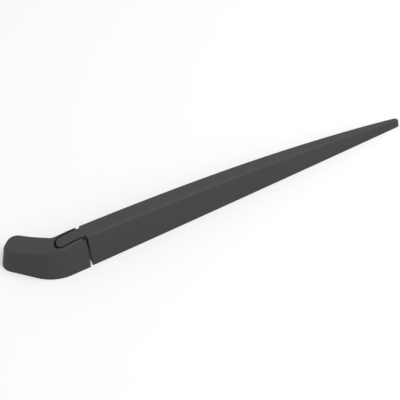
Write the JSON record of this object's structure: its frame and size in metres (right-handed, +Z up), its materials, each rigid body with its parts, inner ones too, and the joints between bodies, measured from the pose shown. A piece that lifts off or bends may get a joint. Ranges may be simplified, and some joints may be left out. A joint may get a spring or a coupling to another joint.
{
  "type": "wiper arm",
  "caption": "Tapering plastic wiper arm, hinged on a cranked mounting head under a clip-on cover, with a tension spring in its channel.",
  "frame": {"origin": "on the spindle axis, at the mounting head's underside", "axes": "+X along the arm from the hinge to the tip, +Z up away from the glass, +Y to the side the head is cranked to"},
  "size_m": [0.367, 0.0529, 0.0256],
  "materials": {
    "arm_plastic": "fine-grained matt charcoal",
    "cover_plastic": "fine-grained matt charcoal",
    "die_cast": "as die-cast, satin",
    "insert_steel": "machined",
    "pin_steel": "zinc-plated",
    "bush_bronze": "sintered",
    "link_steel": "zinc-plated",
    "spring_steel": "zinc-plated wire"
  },
  "bodies": {
    "head": {"mounting_head": "die_cast", "spindle_insert": "insert_steel", "hinge_bush_near": "bush_bronze", "hinge_bush_far": "bush_bronze", "link_pin": "pin_steel"},
    "arm": {"arm_shell": "arm_plastic", "hinge_tongue": "arm_plastic", "hinge_pin": "pin_steel", "spring_anchor_pin": "pin_steel", "blade_pivot_pin": "pin_steel"},
    "cover": {"cover_cap": "cover_plastic"},
    "link": {"spring_link": "link_steel"},
    "spring": {"tension_spring": "spring_steel"}
  },
  "joints": [
    {"name": "arm_fold", "type": "hinge", "parent": "head", "child": "arm", "pos_m": [0.03371, -0.01792, 0.0174], "axis": [0, -1, 0], "range_deg": [0, 45], "stiffness_Nm_per_rad": 0.5, "springref_deg": -57.3, "deforming": ["tension_spring"]},
    {"name": "cover_pull", "type": "slide", "parent": "head", "child": "cover", "axis": [-0.7071, 0, 0.7071], "range_m": [0, 0.007]},
    {"name": "link_swing", "type": "hinge", "parent": "head", "child": "link", "pos_m": [0.02721, -0.01792, 0.0109], "axis": [0, -1, 0], "range_deg": [0, 41.3]},
    {"name": "spring_swing", "type": "hinge", "parent": "arm", "child": "spring", "pos_m": [0.11871, -0.01792, 0.0109], "axis": [0, -1, 0], "range_deg": [-4.5, 0]}
  ],
  "couplings": [
    {"joint": "link_swing", "follows": "arm_fold", "ratio": 0.9122},
    {"joint": "spring_swing", "follows": "arm_fold", "ratio": -0.0878}
  ]
}
